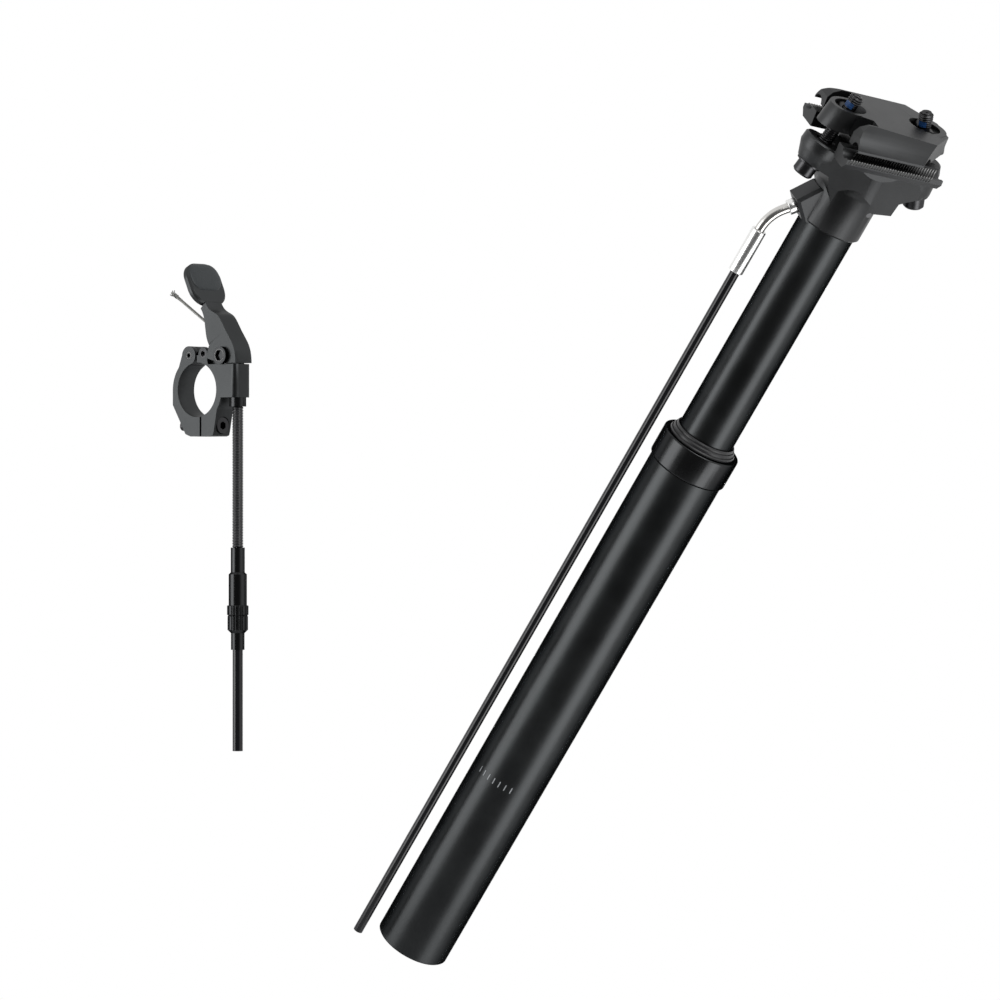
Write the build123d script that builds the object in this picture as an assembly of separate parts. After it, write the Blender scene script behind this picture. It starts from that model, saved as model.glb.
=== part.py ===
from build123d import *
import math
import os

# Dropper seatpost with its handlebar remote, in millimetres.
# The post stands along +Z, with the origin at the centre of the lower tube's bottom end.
# +X points to the rear of the bicycle, along the saddle rails, and the cable boss is on the -X side.
# The remote lies beside the post, with its handlebar bore square to its own cable.

# Clearances
run_gap = 0.05
fit_gap = 0.03
soft_gap = 0.3
hole_gap = 0.25
overrun = 5.0

# Lower tube, its collar and what it holds
tube_d = 31.6
tube_wall = 1.7
tube_bore_d = tube_d - 2 * tube_wall
tube_len = 250.0
tube_edge = 0.5
travel = 100.0
neck_ledge = 0.7
neck_d = tube_d - 2 * neck_ledge
neck_len = 6.8
collar_ledge = 0.9
collar_d = tube_d + 2 * collar_ledge
collar_z = tube_len - neck_len
collar_len = 13.0
collar_edge = 0.8
wiper_rise = 3.9
wiper_seat = 4.4
wiper_wall = 2.2
bush_len = 18.0
bush_slit = 1.0
upper_bush_z = collar_z - bush_len
plug_len = 12.0
clip_z = 2.2
clip_thick = 1.4
clip_depth = 0.65
clip_width = 2.1
clip_mouth_angle = 50.0
rod_bolt_d = 6.0
rod_bolt_head_d = 10.0
rod_bolt_head_len = 5.0
rod_bolt_grip = 12.0
rod_bolt_hex = 5.0

# Stanchion and the guides on its lower end
guide_room = 2.1
stanchion_d = tube_bore_d - 2 * guide_room
stanchion_wall = 1.7
stanchion_bore_d = stanchion_d - 2 * stanchion_wall
bush_spread = 75.2
stanchion_z = upper_bush_z - bush_spread
key_count = 3
key_d = 3.0
key_len = 40.0
key_rise = 26.0
key_z = stanchion_z + key_rise
bumper_len = 7.0

# Locking gas cartridge inside the stanchion
cartridge_d = stanchion_bore_d - 2 * run_gap
cartridge_wall = 2.25
cartridge_bore_d = cartridge_d - 2 * cartridge_wall
cartridge_rise = 40.0
cartridge_z = stanchion_z + cartridge_rise
gland_len = 10.0
gland_seal_len = 3.0
rod_d = 8.0
piston_rise = 24.0
rod_top_z = cartridge_z + piston_rise
piston_len = 8.0
piston_ring_len = 2.0
spigot_d = 5.0
piston_nut_d = 9.0
piston_nut_len = 4.0
cap_len = 14.0
valve_pin_d = 3.0
valve_pin_len = 20.0

# Head: socket, cable boss, arms and the ears for the two clamp bolts
exposed_len = 117.4
head_z = collar_z + exposed_len
socket_wall = 1.6
socket_d = stanchion_d + 2 * socket_wall
socket_edge = 0.8
cartridge_inset = 5.4
cartridge_top_z = head_z + cartridge_inset
stanchion_grip = 18.2
stanchion_top_z = head_z + stanchion_grip
barrel_len = 20.4
barrel_cone = 3.0
barrel_top_z = head_z + barrel_len
rail_rise = 41.4
rail_z = head_z + rail_rise
clamp_tilt = 8.0
bolt_p = 19.4
bolt_lean = 15.4
ear_r = 8.6
ear_rim = 4.2
ear_seat_r = 5.9
arm_r = 7.4
arm_flare = 1.5
waist_ledge = 0.6
waist_r = stanchion_d / 2 + waist_ledge
ear_top = 7.0
front_seat = 17.0
rear_seat = 20.2
cradle_r = 13.9
slot_grow = 1.5

# Cable boss, drawn from the rail line of the head
boss_reach = 6.9
boss_nose_x = socket_d / 2 + boss_reach
boss_nose_rise = 6.4
boss_nose_z = head_z + boss_nose_rise
boss_face = 9.4
boss_crown_reach = 0.4
boss_crown_x = socket_d / 2 + boss_crown_reach
boss_crown_rise = 14.4
boss_crown_z = head_z + boss_crown_rise
boss_half = 5.4
boss_edge = 1.2
boss_slope = 43.5

# Noodle, its nut, the ferrule and the housing along the post
nut_d = 6.2
nut_len = 3.2
noodle_d = 4.0
noodle_bore_d = 2.2
noodle_seat = 4.5
noodle_bend_r = 15.0
housing_reach = 5.4
housing_x = boss_nose_x + housing_reach
ferrule_d = 6.1
ferrule_drop = 11.9
ferrule_top_z = head_z - ferrule_drop
ferrule_len = 19.6
ferrule_z = ferrule_top_z - ferrule_len
ferrule_grip = 9.0
housing_d = 4.0
housing_bore_d = 2.0
housing_end_z = -1.6
wire_d = 1.2

# Actuator inside the head
pivot_inset = 3.1
pivot_x = stanchion_bore_d / 2 - pivot_inset
pivot_rise = 13.4
pivot_z = head_z + pivot_rise
pivot_pin_d = 2.5
pin_inset = 0.8
pivot_pin_half = stanchion_d / 2 - pin_inset
nipple_inset = 3.9
nipple_x = stanchion_bore_d / 2 - nipple_inset
nipple_d = 3.5
actuator_end_r = 2.5
actuator_half = 2.5
window_half = 3.2

# Saddle clamp, in its own axes: p along the rails, y across, q up from the rails' centre line
rail_y = 22.0
rail_d = 7.0
wing_half = 25.8
lower_front = 22.6
lower_rear = 20.0
lower_floor = 7.2
lower_lip = 2.6
lower_inner_lip = 0.6
wing_root = 13.8
rocker_half = 14.0
rocker_top = 1.5
upper_front = 19.6
upper_rear = 9.5
upper_lip = 0.9
upper_fall = 2.0
upper_ear_p = 19.1
upper_ear_r = 8.2
upper_rear_r = 9.0
upper_front_high = 9.6
upper_rear_high = 8.6
upper_shoulder = 16.4
upper_bulge_y = 22.6
upper_bulge_q = 5.9
upper_brow = 5.0
upper_root = 10.2
upper_wing_root = 15.6
neck_share = 0.9
recess_r = 6.4
barrel_nut_d = 6.6
barrel_nut_half = 6.1
barrel_nut_q = 5.6
bolt_d = 5.0
bolt_head_d = 8.5
bolt_head_len = 5.0
bolt_tip = 14.8
bolt_tip_edge = 0.7
hex_af = 4.0
hex_depth = 2.6
washer_d = 10.9
washer_len = 1.0

# Remote: where it lies and how it is turned
remote_x = -166.7
remote_y = 83.2
remote_z = 173.3
lay_azimuth = -28.6
lay_elevation = 20.0
lay_roll = 29.4
bar_turn = 41.7

# Remote clamp, drawn about the handlebar's axis: x to the cable side, y along the bar, z up the cable
bar_d = 22.2
ring_wall = 2.9
clamp_half = 4.7
tongue_half = 2.4
split_x = 2.1
split_gap = 1.0
ear_floor = 19.0
ear_out_x = 12.4
ear_low_x = 9.6
ear_toe = 1.8
strap_ear_x = 5.2
strap_knee_z = 6.0
hinge_x = 4.8
hinge_z = 14.0
hinge_r = 3.8
hinge_pin_d = 3.1
bar_bolt_z = 14.6
bar_bolt_d = 4.0
bar_bolt_head_d = 6.6
bar_bolt_head_len = 3.6
bar_bolt_head_x = 10.3
bar_bolt_end_x = 12.6
block_x = 22.0
block_in_x = 11.0
block_top = 10.2
sill_rise = 1.2
block_floor = 3.3
block_edge = 2.4
lobe_x = 3.4
lobe_z = 14.6
lobe_r = 2.5
stop_screw_d = 3.4
stop_screw_rim = 0.5

# Remote lever
lever_pivot_x = 14.4
lever_pivot_z = 13.7
lever_hub_r = 3.5
lever_toe_r = 8.5
lever_wall = 2.1
lever_web = 1.7
lever_throw = 15.0
lever_spare_angle = 1.0
lever_toe_angle = 150.0
lever_floor = 10.6
lever_heel = 1.2
lever_back_x = 22.0
paddle_half = 9.6
paddle_tip_x = -3.4
paddle_tip_z = 50.2
paddle_root_x = 3.4
paddle_root_z = 35.6
paddle_thick = 2.6
paddle_corner_r = 7.0
lever_bolt_d = 4.0
lever_bolt_head_d = 7.2
lever_bolt_head_len = 1.6
lever_nut_len = 1.0
bush_wall = 0.7
pinch_x = 8.6
pinch_d = 3.6

# Remote cable, below and above the bracket
cable_x = 18.8
cam_r = 4.4
tail_angle = 32.4
tail_x = -19.1
collar_r = 3.4
collar_top = 3.3
collar_floor = 7.0
conduit_r = 2.26
conduit_groove_r = 1.95
conduit_bore_r = 1.3
conduit_floor = 64.1
conduit_ribs = 42
rib_share = 0.62
sleeve_r = 2.85
sleeve_floor = 74.1
body_r = 3.7
body_floor = 87.5
lock_r = 4.35
lock_floor = 91.7
barrel_r = 4.15
barrel_floor = 98.7
barrel_edge = 1.3
stem_r = 2.6
stem_top = 79.0
flute_count = 18
flute_r = 0.45
cap_r = 2.75
cap_floor = 105.5
cap_plug = 4.0
remote_housing_d = 4.2
remote_housing_floor = 146.5

# Frames that several pieces share
clamp_frame = Pos(0, 0, rail_z) * Rot(0, -clamp_tilt, 0)
bolt_frames = [
    clamp_frame * Pos(-bolt_p, 0, 0) * Rot(0, bolt_lean, 0),
    clamp_frame * Pos(bolt_p, 0, 0) * Rot(0, -bolt_lean, 0),
]
bolt_seats = [front_seat, rear_seat]
groove_r = rail_d / 2
lean_run = math.tan(math.radians(bolt_lean))
nut_p = bolt_p - barrel_nut_q * lean_run
cradle_lift = barrel_nut_q - nut_p * lean_run

os.makedirs("parts", exist_ok=True)
made = {}


def keep(name, shape):
    """Remember one named piece."""
    made[name] = shape
    return shape


def lathe(outline):
    """Turn a closed outline of (radius, height) points about the Z axis."""
    line = Polyline(*[(r, 0, z) for r, z in outline], close=True)
    return revolve(make_face(line), Axis.Z)


def pipe(outer_r, inner_r, low, high):
    """A plain tube between two heights."""
    return lathe([(inner_r, low), (outer_r, low), (outer_r, high), (inner_r, high)])


def rod(radius, low, high):
    """A plain round bar between two heights."""
    return Pos(0, 0, (low + high) / 2) * Cylinder(radius, high - low)


def slab(outline, low, high):
    """Give an outline of (x, z) points a thickness between two places on Y."""
    line = Polyline(*[(x, low, z) for x, z in outline], close=True)
    return extrude(make_face(line), amount=high - low, dir=(0, 1, 0))


def section(outline, low, high):
    """Give an outline of (y, z) points a length between two places on X."""
    line = Polyline(*[(low, y, z) for y, z in outline], close=True)
    return extrude(make_face(line), amount=high - low, dir=(1, 0, 0))


def cross_bar(radius, x, z, low, high):
    """A round bar along Y at (x, z)."""
    return Pos(x, (low + high) / 2, z) * Rot(90, 0, 0) * Cylinder(radius, high - low)


def long_bar(radius, y, z, low, high):
    """A round bar along X at (y, z)."""
    return Pos((low + high) / 2, y, z) * Rot(0, 90, 0) * Cylinder(radius, high - low)


def block(low, high):
    """A box between two corners."""
    size = [b - a for a, b in zip(low, high)]
    middle = [(a + b) / 2 for a, b in zip(low, high)]
    return Pos(*middle) * Box(*size)


def slot_hole(radius, low, high):
    """A hole that is longer along X than across, for a bolt that leans."""
    face = SlotCenterToCenter(2 * slot_grow, 2 * radius)
    return Pos(0, 0, low) * extrude(face, amount=high - low)


def hexagon(across, low, high):
    """A hexagon bar between two heights."""
    prism = extrude(RegularPolygon(across / math.sqrt(3), 6), amount=high - low)
    return Pos(0, 0, low) * prism


# Lower tube assembly

tube_r = tube_d / 2
tube_bore_r = tube_bore_d / 2
neck_r = neck_d / 2
stanchion_r = stanchion_d / 2
bush_inner_r = stanchion_r + run_gap
key_ring_r = (stanchion_r + tube_bore_r) / 2
collar_top_z = collar_z + collar_len
wiper_floor_z = collar_top_z - wiper_seat
clip_r = tube_bore_r + clip_depth
plug_z = clip_z + clip_thick + run_gap


def key_bars(radius, low, high):
    """Bars that stand at even turns between the two tubes."""
    bars = []
    for i in range(key_count):
        turn = Rot(0, 0, 360.0 * i / key_count + 90.0)
        bars.append(turn * Pos(key_ring_r, 0, 0) * rod(radius, low, high))
    return bars


def lower_tube():
    shape = lathe([
        (tube_bore_r, 0), (tube_r - tube_edge, 0), (tube_r, tube_edge), (tube_r, collar_z),
        (neck_r, collar_z), (neck_r, tube_len), (tube_bore_r, tube_len),
    ])
    shape -= pipe(clip_r + run_gap, tube_bore_r - run_gap, clip_z - run_gap, clip_z + clip_thick + run_gap)
    keyway_floor = key_z - travel - key_len / 2
    for bar in key_bars(key_d / 2 + hole_gap, keyway_floor, tube_len + overrun):
        shape -= bar
    return shape


def seal_collar():
    outer = collar_d / 2
    seat_r = stanchion_r + wiper_wall + fit_gap + soft_gap
    bore = neck_r + fit_gap
    return lathe([
        (bore, collar_z + fit_gap), (outer - collar_edge, collar_z + fit_gap),
        (outer, collar_z + collar_edge), (outer, collar_top_z - collar_edge / 2),
        (outer - collar_edge / 2, collar_top_z), (seat_r, collar_top_z), (seat_r, wiper_floor_z),
        (bush_inner_r + soft_gap, wiper_floor_z), (bush_inner_r + soft_gap, tube_len + fit_gap),
        (bore, tube_len + fit_gap),
    ])


def wiper_seal():
    inner = stanchion_r + soft_gap
    outer = stanchion_r + wiper_wall + soft_gap
    low = wiper_floor_z + fit_gap
    step = wiper_rise / 4
    lip = (outer - inner) / 3
    return lathe([
        (inner, low), (outer, low), (outer, collar_top_z + step / 2),
        (outer - lip / 2, collar_top_z + step), (outer - lip, collar_top_z + step / 2),
        (outer - lip, collar_top_z + 2 * step), (outer - 1.5 * lip, collar_top_z + 2.6 * step),
        (outer - 2 * lip, collar_top_z + 2 * step), (outer - 2 * lip, collar_top_z + 3.4 * step),
        (inner + lip / 2, collar_top_z + 4 * step), (inner, collar_top_z + 3.6 * step),
    ])


def bush(low):
    shape = pipe(tube_bore_r - fit_gap, bush_inner_r, low, low + bush_len)
    return shape - block((0, -bush_slit / 2, low - overrun),
        (tube_r, bush_slit / 2, low + bush_len + overrun))


def upper_bush():
    return bush(upper_bush_z)


def bottom_plug():
    bore = rod_bolt_d / 2 + hole_gap
    pocket_r = rod_bolt_head_d / 2 + hole_gap
    pocket_top = plug_z + rod_bolt_head_len + run_gap
    top = plug_z + plug_len
    return lathe([
        (pocket_r, plug_z), (tube_bore_r - run_gap, plug_z), (tube_bore_r - run_gap, top),
        (bore, top), (bore, pocket_top), (pocket_r, pocket_top),
    ])


def plug_circlip():
    shape = pipe(clip_r, tube_bore_r - clip_width + clip_depth, clip_z, clip_z + clip_thick)
    reach = 2 * tube_d
    half = math.radians(clip_mouth_angle / 2)
    mouth = Polyline((0, 0), (reach * math.cos(half), -reach * math.sin(half)),
                     (reach * math.cos(half), reach * math.sin(half)), close=True)
    return shape - Pos(0, 0, clip_z - overrun) * extrude(make_face(mouth), amount=clip_thick + 2 * overrun)


rod_z = plug_z + plug_len


def rod_bolt():
    low = plug_z
    head = rod(rod_bolt_head_d / 2, low, low + rod_bolt_head_len)
    head -= hexagon(rod_bolt_hex, low - overrun, low + rod_bolt_head_len / 2)
    return head + rod(rod_bolt_d / 2, low + rod_bolt_head_len, rod_z + rod_bolt_grip)


def cartridge_rod():
    shape = rod(rod_d / 2, rod_z, rod_top_z)
    shape -= rod(rod_bolt_d / 2 + fit_gap, rod_z - overrun, rod_z + rod_bolt_grip + run_gap)
    return shape + rod(spigot_d / 2, rod_top_z, rod_top_z + piston_len + piston_nut_len)


def cartridge_piston():
    outer = cartridge_bore_d / 2 - run_gap
    groove = outer - piston_ring_len / 2
    low = rod_top_z + fit_gap
    high = rod_top_z + piston_len
    ring_low = (low + high - piston_ring_len) / 2
    ring_high = ring_low + piston_ring_len
    return lathe([
        (spigot_d / 2 + fit_gap, low), (outer, low), (outer, ring_low), (groove, ring_low),
        (groove, ring_high), (outer, ring_high), (outer, high), (spigot_d / 2 + fit_gap, high),
    ])


def piston_ring():
    outer = cartridge_bore_d / 2 - run_gap
    middle = (2 * rod_top_z + fit_gap + piston_len) / 2
    half = piston_ring_len / 2 - fit_gap
    return pipe(outer, cartridge_bore_d / 2 - piston_ring_len / 2, middle - half, middle + half)


def piston_nut():
    low = rod_top_z + piston_len + fit_gap
    return hexagon(piston_nut_d, low, low + piston_nut_len - run_gap) - rod(
        spigot_d / 2 + fit_gap, low - overrun, low + piston_nut_len + overrun)


# Stanchion assembly

boss_cos = math.cos(math.radians(boss_slope))
boss_sin = math.sin(math.radians(boss_slope))
boss_hole_x = boss_nose_x - boss_face / 2 * boss_sin
boss_hole_z = boss_nose_z - boss_face / 2 * boss_cos
nipple_z = boss_hole_z + (boss_hole_x - nipple_x) * math.tan(math.radians(boss_slope))
boss_run = Pos(-boss_hole_x, 0, boss_hole_z) * Rot(0, -(90 + boss_slope), 0)


def stanchion():
    inner = stanchion_bore_d / 2
    shape = pipe(stanchion_r, inner, stanchion_z, stanchion_top_z)
    for bar in key_bars(key_d / 2 + fit_gap, key_z - fit_gap, key_z + key_len + fit_gap):
        shape -= bar
    high = stanchion_top_z + overrun
    shape -= block((-stanchion_d, -window_half, cartridge_top_z), (0, window_half, high))
    return shape - cross_bar(pivot_pin_d / 2 + fit_gap, pivot_x, pivot_z, -tube_d, tube_d)


def lower_bush():
    low = stanchion_z + fit_gap
    outer = tube_bore_r - run_gap
    shape = pipe(outer, stanchion_r + fit_gap, low, low + bush_len)
    return shape - block((0, -bush_slit / 2, low - overrun),
        (tube_r, bush_slit / 2, low + bush_len + overrun))


def top_out_bumper():
    high = upper_bush_z - soft_gap
    return pipe(tube_bore_r - soft_gap, stanchion_r + soft_gap, high - bumper_len, high)


def cartridge_cylinder():
    return pipe(cartridge_d / 2, cartridge_bore_d / 2, cartridge_z, cartridge_top_z)


def cartridge_gland():
    outer = cartridge_bore_d / 2 - fit_gap
    inner = rod_d / 2 + run_gap
    seal_r = (outer + inner) / 2
    low = cartridge_z + fit_gap
    return lathe([
        (inner, low + gland_seal_len), (seal_r, low + gland_seal_len), (seal_r, low), (outer, low),
        (outer, low + gland_len), (inner, low + gland_len),
    ])


def gland_seal():
    outer = cartridge_bore_d / 2 - fit_gap
    inner = rod_d / 2 + run_gap
    low = cartridge_z + fit_gap
    return pipe((outer + inner) / 2 - fit_gap, inner, low, low + gland_seal_len - fit_gap)


def cartridge_cap():
    outer = cartridge_bore_d / 2 - fit_gap
    low = cartridge_top_z - cap_len
    edge = (cartridge_d - cartridge_bore_d) / 4
    return lathe([
        (valve_pin_d / 2 + run_gap, low), (outer, low), (outer, cartridge_top_z - edge),
        (outer - edge, cartridge_top_z), (valve_pin_d / 2 + run_gap, cartridge_top_z),
    ])


actuator_floor_z = (pivot_z + nipple_z) / 2 - actuator_end_r - run_gap


def valve_pin():
    r = valve_pin_d / 2
    top = actuator_floor_z - hole_gap
    return rod(r, top - valve_pin_len, top - r) + Pos(0, 0, top - r) * Sphere(r)


def actuator_outline(radius):
    ends = Pos(-nipple_x, nipple_z) * Circle(radius) + Pos(pivot_x, pivot_z) * Circle(radius)
    return make_hull(ends.edges())


def actuator_lever():
    plate = extrude(actuator_outline(actuator_end_r), amount=2 * actuator_half)
    shape = Pos(0, actuator_half, 0) * Rot(90, 0, 0) * plate
    shape -= cross_bar(pivot_pin_d / 2 + run_gap, pivot_x, pivot_z, -stanchion_d, stanchion_d)
    shape -= cross_bar(nipple_d / 2 + run_gap, -nipple_x, nipple_z, -stanchion_d, stanchion_d)
    fork = wire_d / 2 + hole_gap
    low, high = nipple_z - 2 * actuator_end_r, nipple_z + 2 * actuator_end_r
    return shape - block((-nipple_x - 2 * actuator_end_r, -fork, low),
        (-nipple_x + nipple_d / 2, fork, high))


def cable_nipple():
    return cross_bar(nipple_d / 2, -nipple_x, nipple_z, -actuator_half, actuator_half)


def actuator_pin():
    return cross_bar(pivot_pin_d / 2, pivot_x, pivot_z, -pivot_pin_half, pivot_pin_half)


# Head forging

def head_arms():
    """The two arms with their ears, as a side outline that meets a plan outline."""
    run = math.tan(math.radians(bolt_lean))
    c, s = math.cos(math.radians(bolt_lean)), math.sin(math.radians(bolt_lean))
    top_p = bolt_p + ear_top * run
    front = (-(bolt_p + front_seat * s), -front_seat * c)
    rear = (bolt_p + rear_seat * s, -rear_seat * c)
    floor = rail_z - head_z - socket_d / 2
    neck = rail_z - barrel_top_z
    seat_run, seat_drop = ear_seat_r * c, ear_seat_r * s
    outline = [
        (-(top_p + ear_r / c), -ear_top), (-bolt_p, -ear_top), (bolt_p, -ear_top),
        (top_p + ear_r / c, -ear_top),
        (rear[0] + seat_run, rear[1] + seat_drop), (rear[0] - seat_run, rear[1] - seat_drop),
        (socket_d / 2 + arm_flare, -neck - arm_flare), (socket_d / 2, -floor), (-socket_d / 2, -floor),
        (-(socket_d / 2 + 2 * arm_flare), -neck - arm_flare),
        (front[0] + seat_run, front[1] - seat_drop), (front[0] - seat_run, front[1] + seat_drop),
    ]
    side = slab(outline, -waist_r - overrun, waist_r + overrun)
    rings = (Pos(-top_p, 0) * Circle(arm_r) + Pos(0, 0) * Circle(waist_r)
             + Pos(top_p, 0) * Circle(arm_r))
    plan = extrude(make_hull(rings.edges()), amount=floor + overrun)
    shape = clamp_frame * (side & (Pos(0, 0, -floor) * plan))
    for frame, seat in zip(bolt_frames, bolt_seats):
        shape += frame * lathe([
            (0, -seat), (ear_seat_r, -seat), (ear_r, -ear_top - ear_rim), (ear_r, -ear_top - slot_grow / 2),
            (ear_r - slot_grow / 2, -ear_top), (0, -ear_top),
        ])
    return shape


def boss():
    """The wedge on the front that the noodle screws into."""
    foot = (-(boss_nose_x - boss_face * boss_sin), boss_nose_z - boss_face * boss_cos)
    outline = [
        (-boss_nose_x, boss_nose_z), (-boss_crown_x, boss_crown_z), (0, boss_crown_z), (0, foot[1]), foot,
    ]
    shape = slab(outline, -boss_half, boss_half)
    sides = shape.faces().sort_by(Axis.Y)[0].edges() + shape.faces().sort_by(Axis.Y)[-1].edges()
    outer = [e for e in sides if e.center().X < -boss_crown_x]
    return chamfer(outer, boss_edge)


def head():
    socket_r = socket_d / 2
    shape = lathe([
        (0, head_z), (socket_r - socket_edge, head_z), (socket_r, head_z + socket_edge),
        (socket_r, barrel_top_z - barrel_cone), (waist_r - waist_ledge, barrel_top_z), (0, barrel_top_z),
    ])
    shape += head_arms()
    shape += boss()
    shape -= rod(stanchion_r + fit_gap, head_z - overrun, stanchion_top_z + fit_gap)
    shape -= clamp_frame * cross_bar(cradle_r, 0, cradle_lift, -tube_d, tube_d)
    for frame, seat in zip(bolt_frames, bolt_seats):
        shape -= frame * slot_hole(bolt_d / 2 + hole_gap, -seat - overrun, 0)
    shape -= boss_run * rod(noodle_d / 2 + fit_gap, -noodle_seat, overrun)
    shape -= boss_run * rod(noodle_bore_d / 2, -nipple_x - boss_hole_x / 2, 0)
    shape -= cross_bar(pivot_pin_d / 2 + fit_gap, pivot_x, pivot_z, -tube_d, tube_d)
    return shape


# Noodle, ferrule and housing along the post

noodle_corner_z = boss_hole_z - (housing_x - boss_hole_x) * math.tan(math.radians(boss_slope))
ferrule_seat_z = ferrule_top_z - ferrule_grip / 2


def along_boss(distance):
    return (-boss_hole_x - boss_cos * distance, 0, boss_hole_z - boss_sin * distance)


def noodle_route(start, end_z):
    return FilletPolyline(along_boss(start), (-housing_x, 0, noodle_corner_z), (-housing_x, 0, end_z),
                          radius=noodle_bend_r)


def along(route, radius):
    """A round bar that follows a route from its first point."""
    return sweep(Plane(origin=route @ 0, z_dir=route % 0) * Circle(radius), path=route)


def noodle():
    outer = along(noodle_route(-noodle_seat + fit_gap, ferrule_seat_z), noodle_d / 2)
    inner = along(noodle_route(-noodle_seat - overrun, ferrule_seat_z - overrun), noodle_bore_d / 2)
    return outer - inner


def noodle_nut():
    nut = boss_run * (rod(nut_d / 2, fit_gap, nut_len) - rod(noodle_d / 2 + fit_gap, -overrun,
        nut_len + overrun))
    return nut


def housing_ferrule():
    return Pos(-housing_x, 0, 0) * lathe([
        (housing_d / 2 + fit_gap, ferrule_z), (ferrule_d / 2, ferrule_z), (ferrule_d / 2, ferrule_top_z),
        (noodle_d / 2 + fit_gap, ferrule_top_z), (noodle_d / 2 + fit_gap, ferrule_seat_z - fit_gap),
        (noodle_bore_d / 2, ferrule_seat_z - fit_gap), (noodle_bore_d / 2, ferrule_z + ferrule_grip),
        (housing_d / 2 + fit_gap, ferrule_z + ferrule_grip),
    ])


def post_housing():
    top = ferrule_z + ferrule_grip - run_gap
    return Pos(-housing_x, 0, 0) * pipe(housing_d / 2, housing_bore_d / 2, housing_end_z, top)


def post_inner_wire():
    start = -(boss_hole_x - nipple_x) / boss_cos + nipple_d
    return along(noodle_route(start, housing_end_z), wire_d / 2)


# Saddle clamp, drawn in the clamp's own axes

def rail_grooves(low, high):
    return [long_bar(groove_r, side * rail_y, 0, low, high) for side in (-1, 1)]


def lower_clamp():
    rocker_r = cradle_r - hole_gap / 2
    shape = cross_bar(rocker_r, 0, cradle_lift, -rocker_half, rocker_half)
    shape &= block((-cradle_r, -tube_d, -cradle_r), (cradle_r, tube_d, -rocker_top))
    outline_half = [
        (wing_root, -lower_floor), (wing_half - lower_lip, -lower_floor),
        (wing_half, -lower_floor + lower_lip),
        (wing_half, -lower_lip), (rail_y, -lower_lip), (rail_y, -lower_inner_lip),
        (wing_root, -lower_inner_lip),
    ]
    for side in (-1, 1):
        shape += section([(side * y, z) for y, z in outline_half], -lower_front, lower_rear)
    for groove in rail_grooves(-lower_front - overrun, lower_rear + overrun):
        shape -= groove
    return clamp_frame * shape


def upper_plan():
    """Plan of the top clamp: two wings, a notch on each side of the front ear, a tapered rear."""
    neck_y = upper_ear_r * neck_share
    half = [
        (-upper_root, upper_wing_root), (-upper_front, upper_wing_root), (-upper_front, wing_half),
        (upper_rear, wing_half), (upper_ear_p + upper_rear_r / math.sqrt(2), upper_rear_r / math.sqrt(2)),
    ]
    front = [(-upper_ear_p, neck_y), (-upper_root, upper_root)]
    outline = front + half
    return make_face(Polyline(*outline, *[(p, -y) for p, y in reversed(outline)], close=True))


def upper_crown(high):
    """Cross-section of the top clamp: flat on top, with bulging wings over the rails."""
    lines = []
    for side in (-1, 1):
        a = Vector(-tube_d, side * upper_shoulder, high)
        b = Vector(-tube_d, side * upper_bulge_y, upper_bulge_q)
        c = Vector(-tube_d, side * wing_half, 2 * upper_lip)
        lines += [ThreePointArc(a, b, c), Line(c, (-tube_d, side * wing_half, upper_lip))]
    ends = [(-tube_d, side * upper_shoulder, high) for side in (-1, 1)]
    feet = [(-tube_d, side * wing_half, upper_lip) for side in (-1, 1)]
    face = make_face([*lines, Line(*ends), Line(*feet)])
    return extrude(face, amount=2 * tube_d, dir=(1, 0, 0))


def upper_side(high):
    """Side view of the top clamp: a brow over the wings' front ends and a top that falls to the rear."""
    low = upper_lip - fit_gap
    return slab([
        (-upper_front - overrun, low), (-upper_front - overrun, high - upper_brow - upper_lip),
        (-upper_front, high - upper_brow + upper_lip), (-upper_front + upper_brow / 3,
            high - upper_brow / 3),
        (-upper_front + upper_brow, high), (-upper_root, high), (upper_ear_p, high - upper_fall / 2),
        (2 * tube_d, high - upper_fall), (2 * tube_d, low),
    ], -tube_d, tube_d)


def upper_clamp():
    high = upper_front_high
    shape = Pos(0, 0, upper_lip) * extrude(upper_plan(), amount=high - upper_lip)
    shape &= upper_crown(high) & upper_side(high)
    nut_s = barrel_nut_q / math.cos(math.radians(bolt_lean))
    for frame, radius, top in zip(bolt_frames, (upper_ear_r, upper_rear_r),
        (upper_front_high, upper_rear_high)):
        local = clamp_frame.inverse() * frame
        ear = local * rod(radius, -overrun, high + overrun)
        shape += ear & block((-2 * tube_d, -tube_d, upper_lip), (2 * tube_d, tube_d, top))
    for side, frame in zip((-1, 1), bolt_frames):
        local = clamp_frame.inverse() * frame
        shape -= local * rod(recess_r, nut_s, high + 2 * overrun)
        shape -= cross_bar(barrel_nut_d / 2 + run_gap, side * nut_p, barrel_nut_q, -recess_r, recess_r)
        shape -= local * slot_hole(bolt_d / 2 + 2 * hole_gap, -2 * overrun, nut_s)
    for groove in rail_grooves(-2 * tube_d, 2 * tube_d):
        shape -= groove
    return clamp_frame * shape


def barrel_nut(side, frame):
    nut = clamp_frame * cross_bar(barrel_nut_d / 2, side * nut_p, barrel_nut_q, -barrel_nut_half,
        barrel_nut_half)
    return nut - frame * rod(bolt_d / 2 + hole_gap, -overrun, bolt_tip + overrun)


def front_barrel_nut():
    return barrel_nut(-1, bolt_frames[0])


def rear_barrel_nut():
    return barrel_nut(1, bolt_frames[1])


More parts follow.
